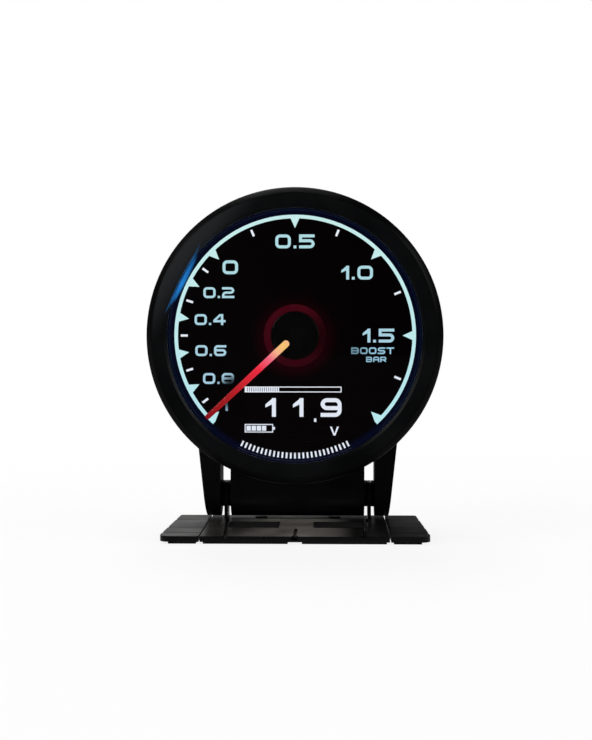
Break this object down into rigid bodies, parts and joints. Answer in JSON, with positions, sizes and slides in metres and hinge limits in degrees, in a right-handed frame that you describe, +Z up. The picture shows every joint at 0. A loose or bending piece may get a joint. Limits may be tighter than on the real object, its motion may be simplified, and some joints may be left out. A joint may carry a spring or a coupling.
{
  "type": "boost gauge on a tilting stand",
  "caption": "Round electronic boost gauge with a lit dial, sweeping needle and small data display, held in a cradle that tilts on a flexible dashboard base.",
  "frame": {"origin": "centre of the underside of the base's adhesive pad", "axes": "+Z up, dial facing -Y, +X to the right as a driver facing the dial sees it"},
  "size_m": [0.066, 0.045, 0.082],
  "materials": {
    "stand_plastic": "glossy moulded black plastic",
    "cradle_plastic": "black moulded plastic",
    "adhesive_foam": "black foam tape",
    "bracket_steel": "black painted steel",
    "screw_steel": "blackened steel",
    "zinc_steel": "zinc plated steel",
    "bezel_black": "satin black",
    "lens_clear": "clear",
    "gasket_rubber": "matt",
    "can_plastic": "fine textured black",
    "dial_black": "smoked black",
    "scale_light": "lit pale cyan",
    "tick_light": "lit white",
    "hub_light": "lit dark red",
    "guide_clear": "clear acrylic",
    "screen_glass": "black glass",
    "holder_white": "white",
    "needle_light": "lit red",
    "hub_black": "matt black",
    "gear_plastic": "natural acetal",
    "motor_plastic": "dark grey",
    "magnet_black": "sintered",
    "stator_steel": "bare",
    "winding_copper": "enamelled copper wire",
    "contact_brass": "tinned brass",
    "board_green": "solder mask",
    "lamp_white": "lit",
    "lamp_red": "lit",
    "chip_black": "moulded",
    "capacitor_can": "sleeved",
    "socket_nylon": "natural nylon"
  },
  "bodies": {
    "base": {"base_plate": "stand_plastic", "center_pad": "adhesive_foam", "hinge_bracket": "bracket_steel", "bracket_rivets": "screw_steel"},
    "left_wing": {"left_wing": "stand_plastic", "left_pad": "adhesive_foam"},
    "right_wing": {"right_wing": "stand_plastic", "right_pad": "adhesive_foam"},
    "pointer": {"needle": "needle_light", "needle_hub": "hub_black", "needle_cap": "hub_black", "output_gear": "gear_plastic"},
    "idler": {"intermediate_gear": "gear_plastic"},
    "rotor": {"rotor_magnet": "magnet_black", "rotor_pinion": "gear_plastic"},
    "button": {"setting_button": "hub_black", "switch_plunger": "socket_nylon"},
    "head": {"cradle": "cradle_plastic", "clamp_screw": "screw_steel", "clamp_nut": "zinc_steel", "pivot_screws": "screw_steel", "pivot_washers": "cradle_plastic", "bezel": "bezel_black", "front_lens": "lens_clear", "lens_gasket": "gasket_rubber", "spacer_ring": "dial_black", "rear_can": "can_plastic", "rear_cover": "can_plastic", "rear_cover_screws": "zinc_steel", "dial_plate": "dial_black", "dial_scale": "scale_light", "dial_ticks": "tick_light", "dial_numerals": "scale_light", "dial_legend": "scale_light", "hub_ring": "hub_light", "light_guide": "guide_clear", "display_glass": "screen_glass", "display_picture": "tick_light", "display_holder": "holder_white", "motor_case": "motor_plastic", "motor_cover": "motor_plastic", "stator": "stator_steel", "coil_windings": "winding_copper", "coil_bobbins": "motor_plastic", "motor_pins": "contact_brass", "main_board": "board_green", "dial_lamps": "lamp_white", "hub_lamps": "lamp_red", "connector_board": "board_green", "board_screws": "zinc_steel", "board_link_pins": "contact_brass", "board_link_strips": "chip_black", "chips": "chip_black", "capacitors": "capacitor_can", "buzzer": "chip_black", "power_socket": "socket_nylon", "sensor_socket": "socket_nylon", "socket_pins": "contact_brass", "switch_body": "chip_black"}
  },
  "joints": [
    {"name": "head_tilt", "type": "hinge", "parent": "base", "child": "head", "pos_m": [0, 0.0146, 0.00765], "axis": [-1, 0, 0], "range_deg": [-15, 60]},
    {"name": "left_wing_fold", "type": "hinge", "parent": "base", "child": "left_wing", "pos_m": [-0.0213, 0, 0.0005], "axis": [0, -1, 0], "range_deg": [-10, 20], "stiffness_Nm_per_rad": 0.02},
    {"name": "right_wing_fold", "type": "hinge", "parent": "base", "child": "right_wing", "pos_m": [0.0213, 0, 0.0005], "axis": [0, 1, 0], "range_deg": [-10, 20], "stiffness_Nm_per_rad": 0.02},
    {"name": "needle_sweep", "type": "hinge", "parent": "head", "child": "pointer", "pos_m": [0, -0.0144, 0.0464], "axis": [0, 1, 0], "range_deg": [-2, 268]},
    {"name": "idler_spin", "type": "hinge", "parent": "head", "child": "idler", "pos_m": [0, -0.0024, 0.05515], "axis": [0, 1, 0], "range_deg": [-1608, 12]},
    {"name": "rotor_spin", "type": "hinge", "parent": "head", "child": "rotor", "pos_m": [0, -0.0024, 0.0624], "axis": [0, 1, 0], "range_deg": [-57.6, 7718.4]},
    {"name": "button_press", "type": "slide", "parent": "head", "child": "button", "axis": [0, -1, 0], "range_m": [0, 0.0006], "stiffness_N_per_m": 800, "springref_m": -0.0002}
  ],
  "couplings": [
    {"joint": "idler_spin", "follows": "needle_sweep", "ratio": -6},
    {"joint": "rotor_spin", "follows": "needle_sweep", "ratio": 28.8}
  ]
}
